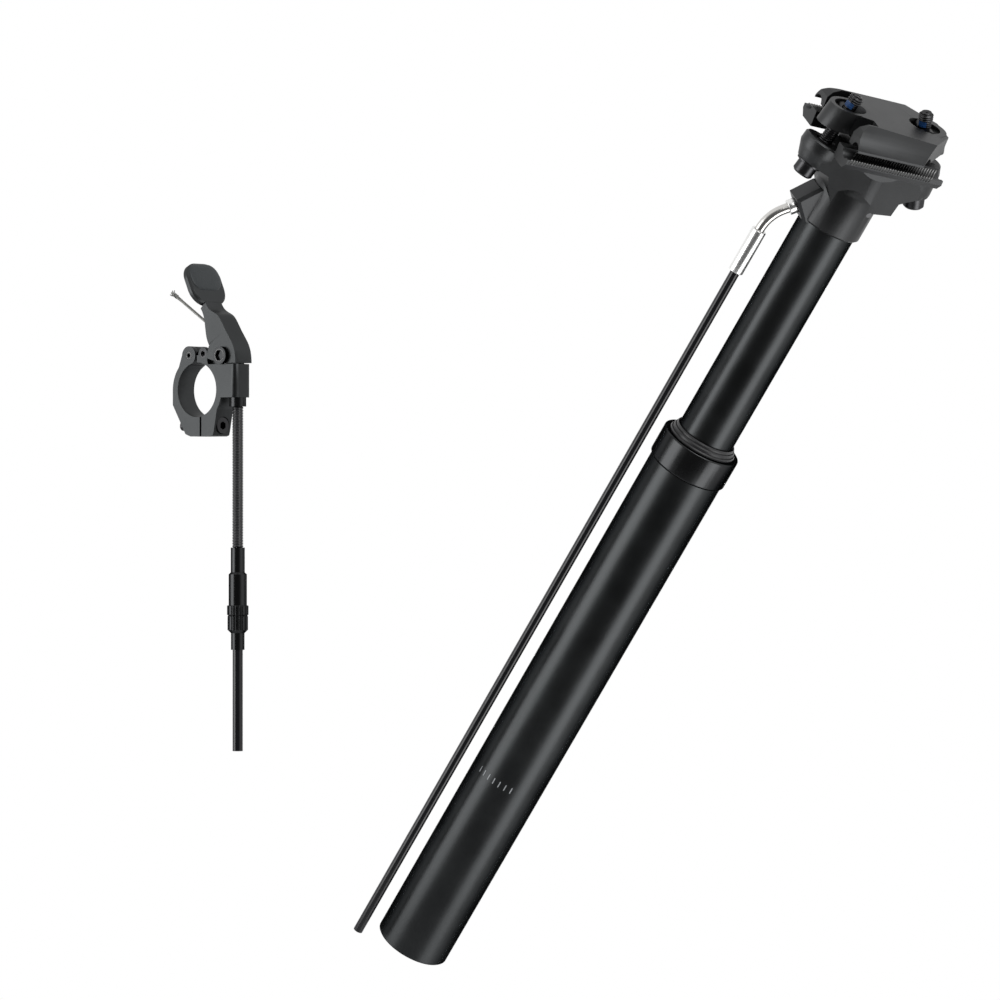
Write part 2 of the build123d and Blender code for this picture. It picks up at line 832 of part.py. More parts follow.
def clamp_bolts():
    bolts = []
    for frame, seat in zip(bolt_frames, bolt_seats):
        under = -seat - washer_len - run_gap
        low = under - bolt_head_len
        outline = [
            (0, low), (bolt_head_d / 2 - bolt_tip_edge, low), (bolt_head_d / 2, low + bolt_tip_edge),
            (bolt_head_d / 2, under), (bolt_d / 2, under), (bolt_d / 2, bolt_tip - bolt_tip_edge),
            (bolt_d / 2 - bolt_tip_edge, bolt_tip), (0, bolt_tip),
        ]
        bolts.append(frame * (lathe(outline) - hexagon(hex_af, low - overrun, low + hex_depth)))
    return Compound(children=bolts)


def bolt_washers():
    rings = []
    for frame, seat in zip(bolt_frames, bolt_seats):
        rings.append(frame * pipe(washer_d / 2, bolt_d / 2 + run_gap, -seat - washer_len - fit_gap,
            -seat - fit_gap))
    return Compound(children=rings)


# Remote, drawn about the bar's axis and then laid beside the post

def remote_frame():
    """The remote's own axes in the post's frame, from how the pair is laid out."""
    a, e, t = (math.radians(v) for v in (lay_azimuth, lay_elevation, lay_roll))
    back = Vector(math.sin(a) * math.cos(e), -math.cos(a) * math.cos(e), math.sin(e))
    level = Vector(math.cos(a), math.sin(a), 0)
    rise = back.cross(level)
    right = level * math.cos(t) + rise * math.sin(t)
    up = rise * math.cos(t) - level * math.sin(t)
    turn = math.radians(bar_turn)
    side = right * math.cos(turn) + back * math.sin(turn)
    return Location(Plane(origin=(remote_x, remote_y, remote_z), x_dir=side, z_dir=up))


remote = remote_frame()
tail_run = math.radians(tail_angle)
tail_start = (lever_pivot_x + cam_r * math.sin(tail_run), lever_pivot_z + cam_r * math.cos(tail_run))
pinch_z = tail_start[1] + (tail_start[0] - pinch_x) * math.tan(tail_run)
bar_r = bar_d / 2
ring_r = bar_r + ring_wall


def bar_hole():
    return cross_bar(bar_r, 0, 0, -tube_d, tube_d)


def clamp_split():
    """The part of space on the strap's side: left of the split and of the hinge."""
    return [
        (-2 * bar_d, -2 * bar_d), (split_x - split_gap / 2, -2 * bar_d), (split_x - split_gap / 2, 0),
        (-hinge_x, 0), (-hinge_x, 2 * bar_d), (-2 * bar_d, 2 * bar_d),
    ]


def remote_bracket():
    ring = cross_bar(ring_r, 0, 0, -clamp_half, clamp_half)
    right_half = block((split_x + split_gap / 2, -tube_d, -2 * bar_d), (2 * bar_d, tube_d, 0))
    right_half += block((0, -tube_d, -fit_gap), (2 * bar_d, tube_d, 2 * bar_d))
    shape = ring & right_half
    ear = slab([
        (split_x + split_gap / 2, -ear_floor), (ear_low_x - ear_toe, -ear_floor),
        (ear_low_x - ear_toe / 4, -ear_floor + ear_toe / 4), (ear_low_x, -ear_floor + ear_toe),
        (ear_out_x, -block_floor), (ear_out_x, 0), (split_x + split_gap / 2, 0),
    ], -clamp_half, clamp_half)
    body = slab([
        (block_in_x, -block_floor), (block_x, -block_floor), (block_x, block_top),
        (block_in_x - ring_wall, block_top),
    ], -clamp_half, clamp_half)
    body = fillet(body.edges().filter_by(Axis.Z).sort_by(Axis.X)[-2:], block_edge)
    shape += ear + body
    sweep_r = math.hypot(lever_pivot_x, lever_pivot_z) - bar_r - fit_gap
    for side in (-1, 1):
        low, high = sorted((side * tongue_half, side * tube_d))
        shape -= cross_bar(sweep_r, lever_pivot_x, lever_pivot_z, low, high) & block(
            (-bar_d, -tube_d, block_top), (2 * bar_d, tube_d, 2 * bar_d))
    hub = slab([
        (lever_pivot_x - lever_hub_r, block_top - ring_wall),
        (lever_pivot_x + lever_hub_r, block_top - ring_wall),
        (lever_pivot_x + lever_hub_r, lever_pivot_z), (lever_pivot_x - lever_hub_r, lever_pivot_z),
    ], -tongue_half, tongue_half)
    hub += cross_bar(lever_hub_r, lever_pivot_x, lever_pivot_z, -tongue_half, tongue_half)
    hub += block((lobe_x, -tongue_half, block_top - ring_wall),
                 (lever_back_x - lever_web - hole_gap, tongue_half, block_top + sill_rise))
    lobe = slab([
        (lobe_x - lobe_r, bar_r), (lobe_x + lobe_r, bar_r), (lobe_x + lobe_r, lobe_z),
        (lobe_x - lobe_r, lobe_z),
    ], -clamp_half, clamp_half)
    lobe += cross_bar(lobe_r, lobe_x, lobe_z, -clamp_half, clamp_half)
    tongue = slab([
        (-hinge_x, bar_r), (lobe_x, bar_r), (lobe_x, hinge_z + hinge_r / 2),
        (-hinge_x, hinge_z + hinge_r / 2),
    ], -tongue_half, tongue_half)
    tongue += cross_bar(hinge_r - fit_gap, -hinge_x, hinge_z, -tongue_half, tongue_half)
    shape += hub + lobe + tongue
    shape -= bar_hole()
    shape -= cross_bar(hinge_pin_d / 2 + fit_gap, -hinge_x, hinge_z, -tube_d, tube_d)
    shape -= cross_bar(lever_bolt_d / 2 + bush_wall + 2 * fit_gap, lever_pivot_x, lever_pivot_z,
        -tube_d, tube_d)
    shape -= cross_bar(stop_screw_d / 2 + fit_gap, lobe_x, lobe_z, -tube_d, tube_d)
    shape -= long_bar(bar_bolt_d / 2 + hole_gap, 0, -bar_bolt_z, 0, 2 * bar_d)
    shape -= long_bar(bar_bolt_head_d / 2 + hole_gap, 0, -bar_bolt_z,
        bar_bolt_head_x - bar_bolt_head_len, 2 * bar_d)
    shape -= Pos(cable_x, 0, 0) * rod(conduit_bore_r, -2 * block_floor, 2 * block_top)
    return remote * shape


def clamp_strap():
    ring = cross_bar(ring_r, 0, 0, -clamp_half, clamp_half)
    left = slab(clamp_split(), -tube_d, tube_d)
    shape = ring & left
    shape += slab([
        (-ring_r, 0), (-ring_r, -strap_knee_z), (-strap_ear_x - ring_wall / 2, -ear_floor + ring_wall / 3),
        (-strap_ear_x + ring_wall / 2, -ear_floor), (split_x - split_gap / 2, -ear_floor),
        (split_x - split_gap / 2, 0),
    ], -clamp_half, clamp_half)
    shape += slab([
        (-ring_r, 0), (-hinge_x, 0), (-hinge_x, hinge_z),
        (-hinge_x - hinge_r * 0.8, hinge_z + hinge_r * 0.6),
    ], -clamp_half, clamp_half)
    shape += cross_bar(hinge_r, -hinge_x, hinge_z, -clamp_half, clamp_half)
    shape -= bar_hole()
    fork = tongue_half + run_gap
    shape -= block((-hinge_x - hinge_r - 2 * run_gap, -fork, hinge_z - hinge_r - fit_gap),
                   (bar_d, fork, hinge_z + hinge_r + overrun))
    shape -= block((-hinge_x, -fork, bar_r - ring_wall), (bar_d, fork, hinge_z + hinge_r + overrun))
    shape -= cross_bar(hinge_pin_d / 2 + fit_gap, -hinge_x, hinge_z, -tube_d, tube_d)
    shape -= long_bar(bar_bolt_d / 2 + fit_gap, 0, -bar_bolt_z, -2 * bar_d, 2 * bar_d)
    return remote * shape


def socket_bolt(shank_r, head_r, head_len, length, across):
    """A socket-head screw along +Z with the underside of its head at zero."""
    shape = rod(shank_r, 0, length) + rod(head_r, -head_len, 0)
    return shape - hexagon(across, -head_len - overrun, -head_len / 3)


def strap_hinge_pin():
    length = 2 * clamp_half - 2 * run_gap
    pin = rod(hinge_pin_d / 2, 0, length) - hexagon(hinge_pin_d / 2, -overrun, length / 5)
    return remote * Pos(-hinge_x, -clamp_half + run_gap, hinge_z) * Rot(-90, 0, 0) * pin


def bar_clamp_bolt():
    under = bar_bolt_head_x - bar_bolt_head_len + run_gap
    bolt = socket_bolt(bar_bolt_d / 2, bar_bolt_head_d / 2, bar_bolt_head_len - run_gap,
                       under + bar_bolt_end_x, bar_bolt_d * 0.75)
    return remote * Pos(under, 0, -bar_bolt_z) * Rot(0, -90, 0) * bolt


def stop_screw():
    inner_r = stop_screw_d / 2 - stop_screw_rim
    screw = rod(stop_screw_d / 2, 0, clamp_half) - rod(inner_r, -overrun, stop_screw_rim)
    screw -= hexagon(stop_screw_d / 2, -overrun, clamp_half / 3)
    return remote * Pos(lobe_x, -clamp_half + run_gap, lobe_z) * Rot(-90, 0, 0) * screw


def lever_bolt():
    length = 2 * clamp_half + lever_nut_len
    bolt = socket_bolt(lever_bolt_d / 2, lever_bolt_head_d / 2, lever_bolt_head_len, length, hex_af)
    return remote * Pos(lever_pivot_x, -clamp_half - run_gap, lever_pivot_z) * Rot(-90, 0, 0) * bolt


def pivot_bush():
    half = tongue_half + run_gap
    ring = pipe(lever_bolt_d / 2 + fit_gap + bush_wall, lever_bolt_d / 2 + fit_gap, -half, half)
    return remote * Pos(lever_pivot_x, 0, lever_pivot_z) * Rot(-90, 0, 0) * ring


def lever_side():
    """Side outline of the lever's channel: its back is the curve that the thumb's web follows."""
    toe = math.radians(lever_toe_angle)
    start = (lever_pivot_x + lever_toe_r * math.cos(toe), lever_pivot_z + lever_toe_r * math.sin(toe))
    heel = (lever_pivot_x - lever_heel, lever_floor)
    rise = math.radians(lever_throw + lever_spare_angle)
    drop = lever_pivot_z - lever_floor
    half_run = lever_heel * math.cos(rise) - drop * math.sin(rise)
    run = -half_run + math.sqrt(half_run ** 2 + lever_toe_r ** 2 - lever_heel ** 2 - drop ** 2)
    foot = (heel[0] - run * math.cos(rise), heel[1] + run * math.sin(rise))
    back = Spline(
        (lever_back_x, lever_floor), (lever_back_x - 0.7 * lever_web, lever_pivot_z + lever_hub_r),
        ((lever_back_x + lever_pivot_x) / 2 - lever_wall, pinch_z + lever_web),
        ((lever_pivot_x + pinch_x) / 2, pinch_z + lever_toe_r - 0.4 * lever_wall),
        (paddle_root_x + paddle_thick / 2, paddle_root_z),
        tangents=[(0, 1), (paddle_tip_x - paddle_root_x, paddle_tip_z - paddle_root_z)],
    )
    inner = Spline(
        (paddle_root_x - paddle_thick / 2, paddle_root_z - paddle_thick),
        (pinch_x - lever_wall * 1.8, pinch_z + lever_wall),
        (start[0] - 1.1 * lever_wall / 2, start[1] + lever_wall), start,
    )
    toe_arc = ThreePointArc(start, (lever_pivot_x - lever_toe_r, lever_pivot_z), foot)
    return back, inner, toe_arc, foot, heel


def lever_blade():
    back, inner, toe_arc, foot, heel = lever_side()
    top = Line(back @ 1, inner @ 0)
    base = Polyline(foot, heel, back @ 0)
    outline = make_face([back, top, inner, toe_arc, base])
    solid = Pos(0, clamp_half, 0) * Rot(90, 0, 0) * extrude(outline, amount=2 * clamp_half)
    pocket = Pos(-lever_web, tongue_half + 2 * run_gap, 0) * Rot(90, 0, 0) * extrude(
        outline, amount=2 * tongue_half + 4 * run_gap)
    keep_top = block((-tube_d, -tube_d, lever_floor - overrun),
        (2 * tube_d, tube_d, paddle_root_z - 2 * paddle_thick))
    shape = solid - (pocket & keep_top)
    shape -= block((lever_pivot_x, -tongue_half - 2 * run_gap, lever_floor - overrun),
                   (lever_back_x - lever_web, tongue_half + 2 * run_gap, lever_pivot_z))
    shape += paddle()
    shape -= cross_bar(lever_bolt_d / 2 + run_gap, lever_pivot_x, lever_pivot_z, -tube_d, tube_d)
    shape -= cross_bar(pinch_d / 2 + fit_gap, pinch_x, pinch_z, -clamp_half + lever_wall / 2,
        clamp_half + overrun)
    return remote * shape


def paddle():
    """The thumb pad: a rounded plate that stands on the top of the web."""
    run_x = paddle_tip_x - paddle_root_x
    run_z = paddle_tip_z - paddle_root_z
    length = math.hypot(run_x, run_z)
    face = RectangleRounded(2 * paddle_half, length + paddle_thick, paddle_corner_r)
    plate = extrude(face, amount=paddle_thick)
    plate = chamfer(plate.faces().sort_by(Axis.Z)[-1].edges(), paddle_thick / 3)
    lean = math.degrees(math.atan2(-run_x, run_z))
    middle = Pos((paddle_tip_x + paddle_root_x) / 2, 0, (paddle_tip_z + paddle_root_z) / 2)
    return middle * Rot(0, -lean, 0) * Rot(0, 90, 0) * Rot(0, 0, 90) * Pos(0, 0, -paddle_thick / 2) * plate


def pinch_screw():
    screw = rod(pinch_d / 2, 0, 2 * clamp_half - lever_wall / 2)
    screw -= hexagon(pinch_d / 2, clamp_half * 1.5, 2 * clamp_half)
    screw = Pos(pinch_x, -clamp_half + lever_wall / 2, pinch_z) * Rot(-90, 0, 0) * screw
    hole = Pos(pinch_x, 0, pinch_z) * Rot(0, tail_angle - 90, 0) * rod(wire_d / 2 + fit_gap, -pinch_d,
        pinch_d)
    return remote * (screw - hole)


def tail_route():
    """Over the cam from the pivot's level, then straight off to the wire's free end."""
    middle = (math.pi / 2 - tail_run) / 2
    over = ThreePointArc(
        (lever_pivot_x + cam_r, 0, lever_pivot_z + run_gap),
        (lever_pivot_x + cam_r * math.cos(middle), 0, lever_pivot_z + cam_r * math.sin(middle)),
        (tail_start[0], 0, tail_start[1]),
    )
    end = (tail_x, 0, tail_start[1] + (tail_start[0] - tail_x) * math.tan(tail_run))
    return Wire([over, Line((tail_start[0], 0, tail_start[1]), end)])


def cable_tail():
    return remote * along(tail_route(), wire_d / 2)


def remote_inner_wire():
    return remote * Pos(cable_x, 0, 0) * rod(wire_d / 2, -remote_housing_floor, lever_pivot_z)


# Remote cable hardware, turned about the cable's own axis

cable = remote * Pos(cable_x, 0, 0)


def conduit_collar():
    return cable * lathe([
        (conduit_bore_r, -collar_floor), (collar_r, -collar_floor), (collar_r, -collar_top - run_gap),
        (conduit_bore_r, -collar_top - run_gap),
    ])


def flex_conduit():
    """Ribbed outer: each rib is four circles, joined straight."""
    length = conduit_floor - collar_floor
    pitch = length / conduit_ribs
    top = -collar_floor - fit_gap
    circles = []
    for i in range(conduit_ribs):
        low = top - i * pitch
        rib = pitch * rib_share
        edge = (pitch - rib) / 2
        for radius, z in ((conduit_groove_r, low), (conduit_r, low - edge),
                          (conduit_r, low - edge - rib / 2), (conduit_groove_r, low - pitch + edge / 2)):
            circles.append(Pos(0, 0, z) * Circle(radius))
    shape = loft(circles, ruled=True)
    return cable * (shape - rod(conduit_bore_r, -conduit_floor - overrun, 0))


def conduit_sleeve():
    return cable * pipe(sleeve_r, conduit_bore_r, -sleeve_floor, -conduit_floor - fit_gap)


def adjuster_body():
    bore = stem_r + run_gap
    return cable * lathe([
        (conduit_bore_r, -sleeve_floor - fit_gap), (sleeve_r, -sleeve_floor - fit_gap),
        (body_r, -sleeve_floor - (body_r - sleeve_r)), (body_r, -body_floor), (bore, -body_floor),
        (bore, -stem_top + fit_gap), (conduit_bore_r, -stem_top + fit_gap),
    ])


def fluted(radius, low, high, edge):
    """A knurled ring: a turned blank with a groove at each even turn."""
    shape = lathe([
        (stem_r + run_gap, low), (radius - edge, low), (radius, low + edge), (radius, high - flute_r / 2),
        (radius - flute_r / 2, high), (stem_r + run_gap, high),
    ])
    for i in range(flute_count):
        shape -= Rot(0, 0, 360.0 * i / flute_count) * Pos(radius + flute_r / 3, 0, 0) * rod(
            flute_r, low - overrun, high + overrun)
    return shape


def lock_ring():
    return cable * fluted(lock_r, -lock_floor + fit_gap, -body_floor - fit_gap, flute_r)


def adjuster_barrel():
    grip = fluted(barrel_r, -barrel_floor, -lock_floor - fit_gap, barrel_edge)
    stem = pipe(stem_r + run_gap, conduit_bore_r, -barrel_floor, -lock_floor - fit_gap)
    stem += pipe(stem_r, conduit_bore_r, -lock_floor - fit_gap, -stem_top)
    plug_r = remote_housing_d / 2 - lever_web / 8
    return cable * (grip + stem - rod(plug_r, -barrel_floor - overrun, -barrel_floor + cap_plug / 2))


def housing_cap():
    grip = remote_housing_d / 2 + fit_gap
    plug_r = remote_housing_d / 2 - lever_web / 8 - run_gap
    top = -barrel_floor + cap_plug / 2 - run_gap
    return cable * lathe([
        (grip, -cap_floor), (cap_r, -cap_floor), (cap_r, -barrel_floor - run_gap),
        (plug_r, -barrel_floor - run_gap),
        (plug_r, top), (conduit_bore_r, top), (conduit_bore_r, -cap_floor + cap_plug),
        (grip, -cap_floor + cap_plug),
    ])


def remote_housing():
    top = -cap_floor + cap_plug - fit_gap
    return cable * pipe(remote_housing_d / 2, housing_bore_d / 2, -remote_housing_floor, top)


pieces = [
    lower_tube, seal_collar, wiper_seal, upper_bush, bottom_plug, plug_circlip, rod_bolt, cartridge_rod,
    cartridge_piston, piston_ring, piston_nut,
    stanchion, lower_bush, top_out_bumper, cartridge_cylinder, cartridge_gland, gland_seal, cartridge_cap,
    valve_pin, actuator_lever, cable_nipple, actuator_pin, head, noodle, noodle_nut, housing_ferrule,
    post_housing, post_inner_wire,
    lower_clamp, upper_clamp, front_barrel_nut, rear_barrel_nut, clamp_bolts, bolt_washers,
    remote_bracket, clamp_strap, strap_hinge_pin, bar_clamp_bolt, stop_screw, lever_bolt, pivot_bush,
    lever_blade, pinch_screw, cable_tail, remote_inner_wire, conduit_collar, flex_conduit, conduit_sleeve,
    adjuster_body, lock_ring, adjuster_barrel, housing_cap, remote_housing,
]
for make in pieces:
    keep(make.__name__, make())
keep("guide_keys", Compound(children=key_bars(key_d / 2, key_z, key_z + key_len)))

for name, shape in made.items():
    export_step(shape, "parts/" + name + ".step")
print(len(made), "pieces")
print("bend radius of the noodle and of the wire in it:", noodle_bend_r, "mm")
print("radius of the lever's cam, which the wire's free end runs over:", cam_r, "mm")
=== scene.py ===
import math
import bpy
from mathutils import Matrix, Vector


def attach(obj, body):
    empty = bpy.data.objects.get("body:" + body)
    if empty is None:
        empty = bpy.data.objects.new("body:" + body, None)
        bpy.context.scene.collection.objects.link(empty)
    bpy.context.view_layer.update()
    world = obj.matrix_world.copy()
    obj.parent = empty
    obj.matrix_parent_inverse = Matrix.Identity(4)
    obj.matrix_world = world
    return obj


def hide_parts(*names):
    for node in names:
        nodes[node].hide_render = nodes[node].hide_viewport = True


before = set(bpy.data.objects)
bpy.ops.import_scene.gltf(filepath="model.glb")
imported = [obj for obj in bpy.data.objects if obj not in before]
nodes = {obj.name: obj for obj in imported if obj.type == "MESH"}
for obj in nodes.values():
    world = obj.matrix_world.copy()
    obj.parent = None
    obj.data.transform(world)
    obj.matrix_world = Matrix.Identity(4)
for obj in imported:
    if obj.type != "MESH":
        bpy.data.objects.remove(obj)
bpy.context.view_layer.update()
scene = bpy.context.scene
scene.view_settings.view_transform = "Standard"
MM = 0.001

# Lengths are in millimetres and angles in radians, unless a comment says otherwise. piece() and spline() turn
# millimetres into Blender's metres.

# Places and sizes that the pieces share with the CAD
TUBE_R = 15.8                                           # lower tube, outside
RAIL_Z, CLAMP_TILT = 402.0, math.radians(8.0)           # saddle clamp: height of its frame, and tilt at rest
RAIL_Y, GROOVE_R, WING_HALF = 22.0, 3.5, 25.8           # rail grooves, and half the lower clamp's width
LOWER_FRONT, LOWER_REAR, LOWER_LIP = 22.6, 20.0, 2.6    # lower clamp: its ends, and its lips below the rails' line
BOLT_P, BOLT_LEAN = 19.4, math.radians(15.4)            # clamp bolts: place along the clamp, and lean
BOLT_R, BOLT_TIP = 2.5, 14.8                            # their shank, and their tip in each bolt's own frame
EAR_TOP, NUT_TOP = 7.0, 8.9                             # head's ears below that frame, top of the nut above it
HOUSING_X, FERRULE_Z, HOUSING_END = 25.9, 329.1, -1.6   # housing along the post: its line, ferrule and cut end
CABLE_X, REMOTE_HOUSING_END = 18.8, -146.5              # remote's cable: its line, and the cut end
CONDUIT_TOP, CONDUIT_END, CONDUIT_BORE = -7.0, -64.1, 1.3
CAP_TOP, CAP_MOUTH = -101.5, -105.5                     # cap that holds the remote's cut housing
PIVOT_X, PIVOT_Z, CAM_R = 14.4, 13.7, 4.4               # lever: pivot, and radius that the wire runs over
TAIL_RUN, TAIL_X = math.radians(32.4), -19.1            # wire's free end: slope, and where it stops
PADDLE_X, PADDLE_Z = -6.8, 14.6                         # paddle from its root to its tip
PADDLE_MIDDLE, PADDLE_HALF = 42.9, 1.3                  # height of its middle, and half its thickness


# Camera: a long lens about two metres off, rolled so that the post leans as in the photo
AZIMUTH, ELEVATION, ROLL = math.radians(-28.6), math.radians(20.0), math.radians(29.419)
TARGET, DISTANCE, LENS = (-52.20, 28.46, 192.09), 1934.19, 170.85


def heading(azimuth):
    """The level direction in which a camera with this azimuth stands."""
    return Vector((math.sin(azimuth), -math.cos(azimuth), 0))


def rolled(roll):
    """The picture's right and up directions, turned about the line of sight."""
    return (level * math.cos(roll) + rise * math.sin(roll),
            rise * math.cos(roll) - level * math.sin(roll))


back = Vector((math.sin(AZIMUTH) * math.cos(ELEVATION),
               -math.cos(AZIMUTH) * math.cos(ELEVATION), math.sin(ELEVATION)))
level = Vector((math.cos(AZIMUTH), math.sin(AZIMUTH), 0))
rise = back.cross(level)
right, up = rolled(ROLL)
eye = Vector(TARGET) * MM + back * DISTANCE * MM

lens = bpy.data.cameras.new("camera")
lens.lens = LENS
lens.sensor_width = 36.0
lens.clip_start = 0.05
lens.clip_end = 50.0
camera = bpy.data.objects.new("camera", lens)
scene.collection.objects.link(camera)
camera.matrix_world = Matrix.Translation(eye) @ Matrix((right, up, back)).transposed().to_4x4()
scene.camera = camera


# Frames: the saddle clamp with its rails along X, each clamp bolt with its tip up Z, the remote, and its cable

clamp_frame = Matrix.Translation((0, 0, RAIL_Z)) @ Matrix.Rotation(-CLAMP_TILT, 4, "Y")
bolt_frames = {
    "front": clamp_frame @ Matrix.Translation((-BOLT_P, 0, 0)) @ Matrix.Rotation(BOLT_LEAN, 4, "Y"),
    "rear": clamp_frame @ Matrix.Translation((BOLT_P, 0, 0)) @ Matrix.Rotation(-BOLT_LEAN, 4, "Y"),
}

# The remote is turned about its own cable, which points down the photo
BAR_TURN, REMOTE_ROLL, REMOTE_PLACE = math.radians(41.7), math.radians(29.4), (-166.7, 83.2, 173.3)
remote_right, remote_up = rolled(REMOTE_ROLL)
remote_side = remote_right * math.cos(BAR_TURN) + back * math.sin(BAR_TURN)
remote = Matrix((remote_side, remote_up.cross(remote_side), remote_up)).transposed().to_4x4()
remote = Matrix.Translation(REMOTE_PLACE) @ remote
cable = remote @ Matrix.Translation((CABLE_X, 0, 0))


# Materials

BUMP_DEPTH = 0.0004     # metres
CLOUD_SCALE, CLOUD_LOW, CLOUD_HIGH = 45.0, 0.3, 0.7
GLOSS_LOW, GLOSS_HIGH = 0.9, 1.12       # shares of the roughness


def shader(name):
    """A new node material, its tree and its principled shader."""
    material = bpy.data.materials.new(name)
    material.use_nodes = True
    tree = material.node_tree
    return material, tree, tree.nodes["Principled BSDF"]


def add(tree, kind, inputs=(), **settings):
    """A new shader node; an input is linked where its value is a socket, and set where it isn't."""
    node = tree.nodes.new(kind)
    for key, value in settings.items():
        setattr(node, key, value)
    for key, value in dict(inputs).items():
        if isinstance(value, bpy.types.NodeSocket):
            tree.links.new(value, node.inputs[key])
        else:
            node.inputs[key].default_value = value
    return node


def ramp(tree, factor, stops):
    """A colour ramp with these (place, colour) stops."""
    node = add(tree, "ShaderNodeValToRGB", {"Fac": factor})
    elements = node.color_ramp.elements
    while len(elements) < len(stops):
        elements.new(0.5)
    for element, (place, value) in zip(elements, stops):
        element.position = place
        element.color = (*value, 1.0)
    return node.outputs["Color"]


def wavering(tree, bsdf, factor, colour, share, low, high):
    """Let the base colour waver about its own value by a share, between two values of a noise."""
    dark = tuple(c * (1 - share) for c in colour)
    light = tuple(min(1.0, c * (1 + share)) for c in colour)
    tree.links.new(ramp(tree, factor, [(low, dark), (high, light)]), bsdf.inputs["Base Color"])


def grained(tree, bsdf, place, grain, detail, rough, bump):
    """Give the surface a fine relief, and return the noise that makes it."""
    noise = add(tree, "ShaderNodeTexNoise", {
        "Vector": place, "Scale": grain, "Detail": detail, "Roughness": rough}).outputs["Fac"]
    relief = add(tree, "ShaderNodeBump", {"Height": noise, "Strength": bump, "Distance": BUMP_DEPTH})
    tree.links.new(relief.outputs["Normal"], bsdf.inputs["Normal"])
    return noise


def coated(name, colour, roughness, tint, grain=900.0, bump=0.02, wear=0.12):
    """Bare or anodised metal: fine blasted grain, cloudy tone and uneven gloss."""
    material, tree, bsdf = shader(name)
    place = add(tree, "ShaderNodeTexCoord").outputs["Object"]
    grained(tree, bsdf, place, grain, detail=4.0, rough=0.6, bump=bump)
    cloud = add(tree, "ShaderNodeTexNoise", {
        "Vector": place, "Scale": CLOUD_SCALE, "Detail": 5.0, "Roughness": 0.55}).outputs["Fac"]
    wavering(tree, bsdf, cloud, colour, wear, CLOUD_LOW, CLOUD_HIGH)
    gloss = add(tree, "ShaderNodeMapRange", {
        "Value": cloud, "From Min": CLOUD_LOW, "From Max": CLOUD_HIGH,
        "To Min": roughness * GLOSS_LOW, "To Max": roughness * GLOSS_HIGH})
    tree.links.new(gloss.outputs["Result"], bsdf.inputs["Roughness"])
    bsdf.inputs["Metallic"].default_value = 1.0
    bsdf.inputs["Specular Tint"].default_value = (tint, tint, tint, 1.0)
    return material


def plastic(name, colour, roughness, grain=700.0, bump=0.03, specular=0.4):
    """Moulded plastic, rubber or paint with a slight skin."""
    material, tree, bsdf = shader(name)
    place = add(tree, "ShaderNodeTexCoord").outputs["Object"]
    noise = grained(tree, bsdf, place, grain, detail=3.0, rough=0.5, bump=bump)
    wavering(tree, bsdf, noise, colour, share=0.15, low=0.35, high=0.65)
    bsdf.inputs["Roughness"].default_value = roughness
    bsdf.inputs["Specular IOR Level"].default_value = specular
    return material


# Blacks: a low tint darkens a metal's grazing edge, as on the tubes, and a high one keeps the edge grey
tube_black = coated("tube_black", (0.041, 0.043, 0.044), 0.33, tint=0.05)
collar_black = coated("collar_black", (0.040, 0.041, 0.042), 0.27, tint=0.1, bump=0.008)
forged_black = coated("forged_black", (0.047, 0.048, 0.049), 0.42, tint=0.9, grain=1400.0, bump=0.05)
# Light grey metal that paints highlight: the bright rims round two sockets, and the lit tops of the rail ridges
painted_highlight_grey = coated("painted_highlight_grey", (0.17, 0.17, 0.168), 0.34, tint=0.9)
lever_black = coated("lever_black", (0.046, 0.048, 0.049), 0.36, tint=0.6)
gloss_black = coated("gloss_black", (0.036, 0.037, 0.038), 0.22, tint=0.3, bump=0.006)
bolt_black = coated("bolt_black", (0.055, 0.055, 0.057), 0.30, tint=0.6, bump=0.01)
rubber = plastic("rubber_black", (0.018, 0.018, 0.019), 0.42, specular=0.45)
housing_gloss = plastic("housing_gloss", (0.005, 0.005, 0.006), 0.16, bump=0.004)
conduit_black = plastic("conduit_black", (0.012, 0.012, 0.013), 0.26)
paddle_skin = plastic("paddle_skin", (0.018, 0.022, 0.024), 0.42, grain=1500.0, bump=0.06, specular=0.35)

# Bright metals, and the few colours
silver = coated("silver_alloy", (0.80, 0.80, 0.79), 0.28, tint=1.0, bump=0.01, wear=0.03)
wire_steel = coated("wire_steel", (0.21, 0.21, 0.20), 0.30, tint=0.5, bump=0.01, wear=0.1)
steel = coated("bright_steel", (0.60, 0.59, 0.57), 0.24, tint=1.0, bump=0.01, wear=0.06)
brass = coated("key_brass", (0.72, 0.52, 0.22), 0.30, tint=1.0, bump=0.01, wear=0.06)
guide_plastic = plastic("guide_plastic", (0.32, 0.27, 0.19), 0.45)
threadlock = plastic("threadlock_blue", (0.006, 0.045, 0.15), 0.48, grain=2600.0, bump=0.25)
mark_grey = plastic("mark_grey", (0.30, 0.31, 0.32), 0.5)

# The finish of each CAD node; those that aren't named are steel
finish = {name: material for material, names in (
    (tube_black, "lower_tube stanchion bottom_plug"),
    (collar_black, "seal_collar"),
    (rubber, "wiper_seal piston_ring gland_seal top_out_bumper"),
    (guide_plastic, "upper_bush lower_bush pivot_bush"),
    (forged_black, "head lower_clamp upper_clamp"),
    (bolt_black, "front_barrel_nut rear_barrel_nut clamp_bolts bolt_washers stop_screw actuator_pin"
                 " bar_clamp_bolt"),
    (lever_black, "remote_bracket clamp_strap lever_blade"),
    (gloss_black, "lever_bolt strap_hinge_pin conduit_collar conduit_sleeve adjuster_body lock_ring"
                  " adjuster_barrel housing_cap"),
    (silver, "noodle_nut housing_ferrule cartridge_cylinder cartridge_gland cartridge_cap cartridge_piston"),
    (brass, "guide_keys"),
) for name in names.split()}
for name, node in nodes.items():
    node.data.materials.clear()
    node.data.materials.append(finish.get(name, steel))


# Rounded edges on the CAD nodes whose edges catch the light, with the width of each

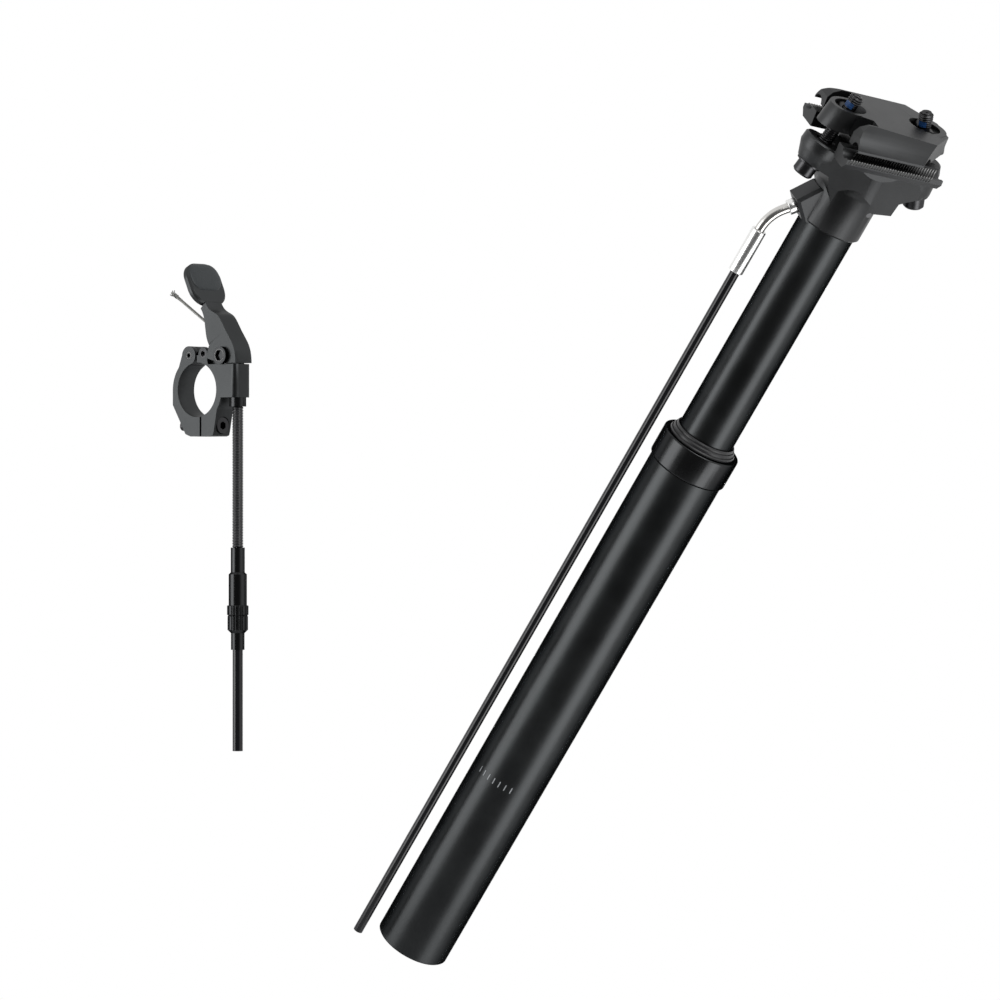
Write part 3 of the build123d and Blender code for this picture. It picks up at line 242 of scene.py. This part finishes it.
WELD_WITHIN = 0.000002      # metres
SHARP_ANGLE = math.radians(30.0)
edge_widths = {
    "head": 0.7, "upper_clamp": 0.6, "lower_clamp": 0.35, "remote_bracket": 0.9, "clamp_strap": 0.7,
    "lever_blade": 0.8, "seal_collar": 0.25, "bolt_washers": 0.2, "lever_bolt": 0.25, "housing_ferrule": 0.3,
    "noodle_nut": 0.25,
}
for name, width in edge_widths.items():
    weld = nodes[name].modifiers.new("weld", "WELD")
    weld.merge_threshold = WELD_WITHIN
    bevel = nodes[name].modifiers.new("bevel", "BEVEL")
    bevel.width = width * MM
    bevel.segments = 3
    bevel.limit_method = "ANGLE"
    bevel.angle_limit = SHARP_ANGLE
    bevel.harden_normals = True


# Helpers for meshes and cords

def piece(name, verts, faces, material, body, at=Matrix(), smooth=True, extra=None, marked=()):
    """One mesh piece in the frame at; faces whose index is in marked take the extra material."""
    mesh = bpy.data.meshes.new(name)
    mesh.from_pydata([(at @ Vector(v)) * MM for v in verts], [], faces)
    mesh.materials.append(material)
    if extra:
        mesh.materials.append(extra)
    for polygon in mesh.polygons:
        polygon.use_smooth = smooth
        polygon.material_index = 1 if polygon.index in marked else 0
    mesh.validate()
    thing = bpy.data.objects.new(name, mesh)
    scene.collection.objects.link(thing)
    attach(thing, body)
    return thing


def circle(radius, i, sides):
    """The i-th of sides points round a circle."""
    angle = 2 * math.pi * i / sides
    return radius * math.cos(angle), radius * math.sin(angle)


def turned(profile, sides):
    """A closed turned form about Z from (radius, height) points, given round its section."""
    verts, faces, count = [], [], len(profile)
    for i in range(sides):
        verts += [(*circle(r, i, sides), z) for r, z in profile]
    for i in range(sides):
        for j in range(count):
            a, b = i * count + j, i * count + (j + 1) % count
            c, d = (b + count) % len(verts), (a + count) % len(verts)
            faces.append((a, d, c, b))
    return verts, faces


def ring_faces(rings, sides):
    """The faces of a skin that joins rings of points, each of the same number of sides."""
    return [(r * sides + i, r * sides + (i + 1) % sides, (r + 1) * sides + (i + 1) % sides, (r + 1) * sides + i)
            for r in range(rings - 1) for i in range(sides)]


def spline(name, points, radius, material, body, replaced):
    """A cord's own smooth line: one NURBS spline with the route's points as its control points."""
    curve = bpy.data.curves.new(name, "CURVE")
    curve.dimensions = "3D"
    curve.resolution_u = 24
    line = curve.splines.new("NURBS")
    line.points.add(len(points) - 1)
    for place, point in zip(line.points, points):
        place.co = (*(Vector(point) * MM), 1.0)
    line.order_u = 3
    line.use_endpoint_u = True
    curve.bevel_depth = radius * MM
    curve.bevel_resolution = 6
    curve.use_fill_caps = True
    curve.materials.append(material)
    thing = bpy.data.objects.new(name, curve)
    scene.collection.objects.link(thing)
    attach(thing, body)
    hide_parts(replaced)
    return thing


def line_points(thing):
    """The points along a cord's spline, in metres, read from the curve with no bevel."""
    bevel = thing.data.bevel_depth
    thing.data.bevel_depth = 0.0
    mesh = bpy.data.meshes.new_from_object(thing)
    points = [v.co.copy() for v in mesh.vertices]
    bpy.data.meshes.remove(mesh)
    thing.data.bevel_depth = bevel
    return points


def resampled(points, step):
    """The same line with points at even steps along it."""
    line, left = [points[0]], step
    for a, b in zip(points, points[1:]):
        length = (b - a).length
        while left <= length:
            line.append(a.lerp(b, left / length))
            left += step
        left -= length
    return line


def run_at(points, k):
    """The direction of a line at its k-th point."""
    return (points[min(k + 1, len(points) - 1)] - points[max(k - 1, 0)]).normalized()


# Cords: the housing along the post, the remote's cut housing, and the wire inside it

POST_HOUSING_R, REMOTE_HOUSING_R, WIRE_R = 2.0, 2.1, 0.6
FERRULE_GRIP = 8.9          # length of the housing that the ferrule hides

post_housing = spline("post_housing_outer", [
    (-HOUSING_X, 0, FERRULE_Z + FERRULE_GRIP), (-HOUSING_X, 0, FERRULE_Z / 2), (-HOUSING_X, 0, HOUSING_END)],
    POST_HOUSING_R, housing_gloss, "stanchion", "post_housing")

cut_top = cable @ Vector((0, 0, CAP_TOP))
cut_end = cable @ Vector((0, 0, REMOTE_HOUSING_END))
remote_housing = spline("remote_housing_outer", [cut_top, (cut_top + cut_end) / 2, cut_end],
                        REMOTE_HOUSING_R, housing_gloss, "adjuster_carriage", "remote_housing")

wire_top = cable @ Vector((0, 0, PIVOT_Z))
spline("remote_wire", [wire_top, (wire_top + cut_end) / 2, cut_end], WIRE_R, steel,
       "lower_tube", "remote_inner_wire")


# The wire's free end: strands laid round a line that runs over the lever's cam, and frayed at its tip

OUTER_STRANDS, STRAND_SHARE, LAY_SHARE = 6, 0.36, 0.66      # radii as shares of the wire's
STRAND_STEP, STRAND_SIDES, TURNS_PER_MM = 0.5, 8, 0.16
FRAY, FRAY_POWER, FRAY_LEAST, FRAY_MORE = 7.0, 1.6, 0.5, 0.45

cam_corner = PIVOT_Z + CAM_R * math.tan((math.pi / 2 - TAIL_RUN) / 2)
cam_end = (PIVOT_X + CAM_R * math.sin(TAIL_RUN), PIVOT_Z + CAM_R * math.cos(TAIL_RUN))
tail_far = (TAIL_X, 0, cam_end[1] + (cam_end[0] - TAIL_X) * math.tan(TAIL_RUN))
tail_line = spline("tail_line", [remote @ Vector(p) for p in (
    (PIVOT_X + CAM_R, 0, PIVOT_Z), (PIVOT_X + CAM_R, 0, cam_corner), (cam_end[0], 0, cam_end[1]), tail_far)],
    WIRE_R, steel, "lever", "cable_tail")
tail_points = line_points(tail_line)
bpy.data.objects.remove(tail_line)

line = resampled([p / MM for p in tail_points], STRAND_STEP)
total = STRAND_STEP * (len(line) - 1)
across = remote.to_3x3() @ Vector((0, 1, 0))
verts, faces = [], []
for strand in range(OUTER_STRANDS + 1):
    path = []
    for k, point in enumerate(line):
        s = STRAND_STEP * k
        opened = max(0.0, (s - (total - FRAY)) / FRAY) ** FRAY_POWER
        reach = WIRE_R * (LAY_SHARE + opened * (FRAY_LEAST + FRAY_MORE * (strand % 3)))
        if strand == OUTER_STRANDS:
            reach = 0
        a = 2 * math.pi * (strand / OUTER_STRANDS + s * TURNS_PER_MM)
        path.append(point + (across * math.cos(a) + run_at(line, k).cross(across) * math.sin(a)) * reach)
    start = len(verts)
    for k, point in enumerate(path):
        run = run_at(path, k)
        side = (across - run * across.dot(run)).normalized()
        other = run.cross(side)
        for i in range(STRAND_SIDES):
            u, v = circle(1.0, i, STRAND_SIDES)
            verts.append(point + (side * u + other * v) * (WIRE_R * STRAND_SHARE))
    last = len(verts) - STRAND_SIDES
    faces += [tuple(start + i for i in face) for face in ring_faces(len(path), STRAND_SIDES)]
    faces.append(tuple(reversed(range(start, start + STRAND_SIDES))))
    faces.append(tuple(range(last, last + STRAND_SIDES)))
tail = piece("tail_strands", verts, faces, wire_steel, "lever")
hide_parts("cable_tail")


# Ribbed conduit: rounded rings with a narrow groove between them, just clear of the collar above

CONDUIT_RIBS, CONDUIT_GAP = 52, 0.04
GROOVE_RADIUS, SHOULDER_RADIUS, RIB_RADIUS = 1.86, 2.14, 2.25
rib = ((0.0, GROOVE_RADIUS), (0.16, SHOULDER_RADIUS), (0.42, RIB_RADIUS), (0.58, RIB_RADIUS),
       (0.84, SHOULDER_RADIUS))     # share of the pitch, radius
rib_pitch = (CONDUIT_TOP - CONDUIT_END) / CONDUIT_RIBS
section = [(CONDUIT_BORE, CONDUIT_END), (CONDUIT_BORE, CONDUIT_TOP - CONDUIT_GAP)]
for i in range(CONDUIT_RIBS):
    section += [(r, CONDUIT_TOP - CONDUIT_GAP - i * rib_pitch - share * rib_pitch) for share, r in rib]
section.append((GROOVE_RADIUS, CONDUIT_END))
conduit = piece("conduit_ribs", *turned(section, sides=36), conduit_black, "lower_tube", cable)
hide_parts("flex_conduit")


# Threads on the clamp bolts, with a patch of thread-locker near each tip, and each tip's dish

THREAD_PITCH, THREAD_SIDES, STEPS_PER_PITCH = 0.9, 40, 8
THREAD_SINK, THREAD_FLANK = 0.04, 1.3       # depth of its closed ends in the shank, and steepness of its flanks
TIP_CREST, LOW_CREST, SLIM_CREST = 2.92, 2.74, 2.56
NUT_TRAVEL = 3.0                            # how far the nut's top rises along the bolt at full tilt
LOW_STRETCH = (-EAR_TOP - 1.5, -0.7)        # from inside the head's ear to just below the bolt's frame
TIP_STRETCH = (-0.65, BOLT_TIP - 0.5)
PATCH_LOW, PATCH_HIGH, PATCH_SIDES = NUT_TOP + 0.4, NUT_TOP + 2.7, (17, 28)


def thread(low, high, crest, slim_to=None, slim=0.0):
    """The skin of a bolt's thread about Z, closed on the shank at both ends, with each face's middle height.

    Up to slim_to, the stretch that a nut runs over, the crest is slim."""
    steps = int((high - low) / THREAD_PITCH * STEPS_PER_PITCH)
    verts, heights = [], []
    for j in range(steps + 1):
        z = low + (high - low) * j / steps
        for i in range(THREAD_SIDES):
            phase = (z / THREAD_PITCH - i / THREAD_SIDES) % 1.0
            depth = 1 - abs(2 * phase - 1)
            full = (crest if slim_to is None or z > slim_to else slim) - BOLT_R
            r = BOLT_R - THREAD_SINK if j in (0, steps) else BOLT_R + full * min(1.0, THREAD_FLANK * depth)
            verts.append((*circle(r, i, THREAD_SIDES), z))
    for j in range(steps):
        heights += [low + (high - low) * (j + 0.5) / steps] * THREAD_SIDES
    return verts, ring_faces(steps + 1, THREAD_SIDES), heights


dish = [(0, BOLT_TIP + 0.02), (1.1, BOLT_TIP + 0.02), (1.35, BOLT_TIP + 0.3), (2.0, BOLT_TIP + 0.3),
        (2.3, BOLT_TIP - 0.25), (0, BOLT_TIP - 0.3)]
for label, at in bolt_frames.items():
    verts, faces, heights = thread(*TIP_STRETCH, TIP_CREST, NUT_TOP + NUT_TRAVEL, SLIM_CREST)
    marked = {i for i, height in enumerate(heights)
              if PATCH_LOW < height < PATCH_HIGH and PATCH_SIDES[0] <= i % THREAD_SIDES <= PATCH_SIDES[1]}
    piece(label + "_bolt_tip_thread", verts, faces, bolt_black, "stanchion", at, extra=threadlock, marked=marked)
    verts, faces, heights = thread(*LOW_STRETCH, LOW_CREST)
    piece(label + "_bolt_thread", verts, faces, bolt_black, "stanchion", at)
    piece(label + "_bolt_tip", *turned(dish, sides=32), bolt_black, "stanchion", at)


# Light grey rings of painted highlight round the sockets of the lever's bolt and the strap's hinge pin, sized by a
# share of each head

RING_FOOT, RING_CROWN = (0.15, -0.1), (0.1, 0.06)       # half width and height
for label, share in (("lever_bolt", 0.68), ("strap_hinge_pin", 0.9)):
    node = nodes[label]
    local = [remote.inverted() @ (node.matrix_world @ v.co / MM) for v in node.data.vertices]
    lows = [min(v[i] for v in local) for i in range(3)]
    highs = [max(v[i] for v in local) for i in range(3)]
    ring_r = share * (highs[2] - lows[2]) / 2
    face = ((lows[0] + highs[0]) / 2, lows[1], (lows[2] + highs[2]) / 2)
    edge = [(ring_r - RING_FOOT[0], RING_FOOT[1]), (ring_r + RING_FOOT[0], RING_FOOT[1]),
            (ring_r + RING_CROWN[0], RING_CROWN[1]), (ring_r - RING_CROWN[0], RING_CROWN[1])]
    at = remote @ Matrix.Translation(face) @ Matrix.Rotation(math.pi / 2, 4, "X")
    piece(label + "_ring", *turned(edge, sides=40), painted_highlight_grey, "lower_tube", at)


# Insertion marks: short printed ticks round the front of the lower tube, in degrees from the camera's side

TICKS, TICK_START, TICK_STEP = 7, -48.0, 10.0
TICK_HALF, TICK_FOOT, TICK_TOP = 0.2, 87.6, 90.3
tick_r = TUBE_R + 0.03
verts, faces = [], []
for i in range(TICKS):
    middle = AZIMUTH - math.pi / 2 + math.radians(TICK_STEP * i + TICK_START)
    half = TICK_HALF / TUBE_R
    start = len(verts)
    for z in (TICK_FOOT, TICK_TOP):
        for a in (middle - half, middle + half):
            verts.append((tick_r * math.cos(a), tick_r * math.sin(a), z))
    faces.append((start, start + 1, start + 3, start + 2))
piece("insertion_ticks", verts, faces, mark_grey, "lower_tube", smooth=False)


# Diagonal ridges that grip the saddle rails, over the lower clamp's lip and down into its groove, in a lighter
# grey that paints highlight on them

RIDGE_PITCH, RIDGE_SKEW, RIDGE_HALF, RIDGE_LIFT, RIDGE_SINK = 1.15, 0.55, 0.36, 0.42, 0.05
RIDGE_FIRST, RIDGE_SPARE = 0.9, 5.0         # first ridge behind the front end, and length without ridges
RIDGE_DROP, LIP_INNER = 1.7, 24.45          # reach down the wing's side, and the lip's inner edge
ROUND_Y, ROUND_Q = 0.15, 0.1                # the lip's rounded outer edge, across and down
GROOVE_START, GROOVE_STEP, GROOVE_POINTS = -50.0, 9.0, 13       # degrees, from straight outwards down and round

# across and up the clamp, with the direction out of its surface
track = [((WING_HALF, -LOWER_LIP - RIDGE_DROP), (1, 0)), ((WING_HALF, -LOWER_LIP - ROUND_Q), (1, 0.3)),
         ((WING_HALF - ROUND_Y, -LOWER_LIP), (0.3, 1)), ((LIP_INNER, -LOWER_LIP), (0, 1))]
for k in range(GROOVE_POINTS):
    a = math.radians(GROOVE_START - GROOVE_STEP * k)
    track.append(((RAIL_Y + GROOVE_R * math.cos(a), GROOVE_R * math.sin(a)), (-math.cos(a), -math.sin(a))))
verts, faces = [], []
for side in (-1, 1):
    for i in range(int((LOWER_FRONT + LOWER_REAR - RIDGE_SPARE) / RIDGE_PITCH)):
        along, start, before = -LOWER_FRONT + RIDGE_FIRST + i * RIDGE_PITCH, len(verts), track[0][0]
        run = 0.0
        for (y, q), (ny, nq) in track:
            run += math.hypot(y - before[0], q - before[1])
            before = (y, q)
            here = along + run * RIDGE_SKEW
            for offset, lift in ((-RIDGE_HALF, -RIDGE_SINK), (0, RIDGE_LIFT), (RIDGE_HALF, -RIDGE_SINK)):
                verts.append((here + offset, side * (y + ny * lift), q + nq * lift))
        for a in range(start, start + 3 * (len(track) - 1), 3):
            faces += [(a, a + 1, a + 4, a + 3), (a + 1, a + 2, a + 5, a + 4)]
piece("rail_ridges", verts, faces, painted_highlight_grey, "saddle_clamp", clamp_frame)


# Thumb pad: a thin crowned skin on the paddle, which ends in a crease a third of the way up

PAD_HALF_WIDTH, PAD_HALF_HEIGHT, PAD_CORNER, PAD_RISE, CORNER_POINTS = 8.4, 5.9, 5.2, 2.7, 12
PAD_RINGS = ((1.0, 0.0), (0.97, 0.28), (0.9, 0.42), (0.6, 0.5))     # share of the outline, lift off the paddle

pad_up = Vector((PADDLE_X, 0, PADDLE_Z)).normalized()
pad_out = Vector((PADDLE_Z, 0, -PADDLE_X)).normalized()
pad_middle = Vector((0, 0, PADDLE_MIDDLE)) + pad_up * PAD_RISE
verts = []
for share, lift in PAD_RINGS:
    for quarter in range(4):
        for k in range(CORNER_POINTS):
            a = math.pi / 2 * (quarter + k / (CORNER_POINTS - 1))
            cx = (PAD_HALF_WIDTH - PAD_CORNER) * (1 if quarter in (0, 3) else -1)
            cy = (PAD_HALF_HEIGHT - PAD_CORNER) * (1 if quarter in (0, 1) else -1)
            x, y = (cx + PAD_CORNER * math.cos(a)) * share, (cy + PAD_CORNER * math.sin(a)) * share
            verts.append(pad_middle + pad_out * (PADDLE_HALF + lift) + pad_up * y + Vector((0, 1, 0)) * x)
around = 4 * CORNER_POINTS
faces = ring_faces(len(PAD_RINGS), around)
faces.append(tuple(range(len(verts) - around, len(verts))))
piece("thumb_pad", verts, faces, paddle_skin, "lever", remote)


# Studio. The world is white for the camera. Reflected and transmitted rays see it white beside and behind the
# object, and dark on the camera's side, so that the black tubes stay dark between two grey bands. All other rays
# see an even, dimmer room.

ROOM_LIGHT, DARK_STRENGTH = 0.5, 0.1
DARK_FROM, DARK_FULL = 0.35, 0.8        # cosines to the camera's side at which the dark starts and is full

world = bpy.data.worlds.new("studio")
scene.world = world
world.use_nodes = True
tree = world.node_tree
tree.nodes.clear()
rays = add(tree, "ShaderNodeLightPath")
seen = add(tree, "ShaderNodeMath", {0: rays.outputs["Is Camera Ray"], 1: rays.outputs["Is Transmission Ray"]},
           operation="MAXIMUM").outputs[0]
seen = add(tree, "ShaderNodeMath", {0: seen, 1: rays.outputs["Is Glossy Ray"]}, operation="MAXIMUM").outputs[0]
way = add(tree, "ShaderNodeTexCoord").outputs["Generated"]
facing = add(tree, "ShaderNodeVectorMath", {0: way, 1: heading(AZIMUTH)}, operation="DOT_PRODUCT").outputs["Value"]
shade = add(tree, "ShaderNodeMapRange", {
    "Value": facing, "From Min": DARK_FROM, "From Max": DARK_FULL, "To Min": 1.0, "To Max": DARK_STRENGTH},
    interpolation_type="SMOOTHSTEP").outputs["Result"]
bright = add(tree, "ShaderNodeMath", {0: rays.outputs["Is Camera Ray"], 1: shade}, operation="MAXIMUM").outputs[0]
white = add(tree, "ShaderNodeBackground", {"Color": (1, 1, 1, 1), "Strength": bright}).outputs[0]
room = add(tree, "ShaderNodeBackground", {"Color": (0.95, 0.97, 1.0, 1), "Strength": ROOM_LIGHT}).outputs[0]
surface = add(tree, "ShaderNodeMixShader", {0: seen, 1: room, 2: white}).outputs[0]
add(tree, "ShaderNodeOutputWorld", {"Surface": surface})

# Soft light panels that face the object, in metres and watts
PANEL_AIM = Vector((0, 0, 0.2))


def panel(name, degrees, height, distance, width, tall, power):
    """A rectangular lamp at an angle from the camera's direction."""
    data = bpy.data.lights.new(name, "AREA")
    data.shape = "RECTANGLE"
    data.size = width
    data.size_y = tall
    data.energy = power
    lamp = bpy.data.objects.new(name, data)
    scene.collection.objects.link(lamp)
    place = heading(AZIMUTH + math.radians(degrees)) * distance + Vector((0, 0, height))
    lamp.location = place
    lamp.rotation_mode = "QUATERNION"
    lamp.rotation_quaternion = (PANEL_AIM - place).to_track_quat("-Z", "Y")


panel("left_strip", degrees=-62, height=-0.25, distance=1.5, width=0.9, tall=1.6, power=15.0)
panel("right_strip", degrees=58, height=-0.25, distance=1.5, width=0.8, tall=1.6, power=13.0)
panel("top_box", degrees=20, height=1.9, distance=0.8, width=1.2, tall=1.2, power=14.0)

# Floor, in metres: plain white for the camera, and a pale matt surface for all other rays
FLOOR_R, FLOOR_Z, FLOOR_SIDES = 0.75, -0.32, 96
floor_mesh = bpy.data.meshes.new("floor")
floor_mesh.from_pydata([(*circle(FLOOR_R, i, FLOOR_SIDES), FLOOR_Z) for i in range(FLOOR_SIDES)], [],
                       [tuple(range(FLOOR_SIDES))])
floor = bpy.data.objects.new("floor", floor_mesh)
scene.collection.objects.link(floor)
floor_paint, tree, bsdf = shader("floor_paint")
bsdf.inputs["Base Color"].default_value = (0.9, 0.9, 0.9, 1)
bsdf.inputs["Roughness"].default_value = 0.9
rays = add(tree, "ShaderNodeLightPath")
glow = add(tree, "ShaderNodeEmission", {"Color": (1, 1, 1, 1), "Strength": 1.0})
mix = add(tree, "ShaderNodeMixShader", {
    0: rays.outputs["Is Camera Ray"], 1: bsdf.outputs[0], 2: glow.outputs[0]})
tree.links.new(mix.outputs[0], tree.nodes["Material Output"].inputs["Surface"])
floor_mesh.materials.append(floor_paint)
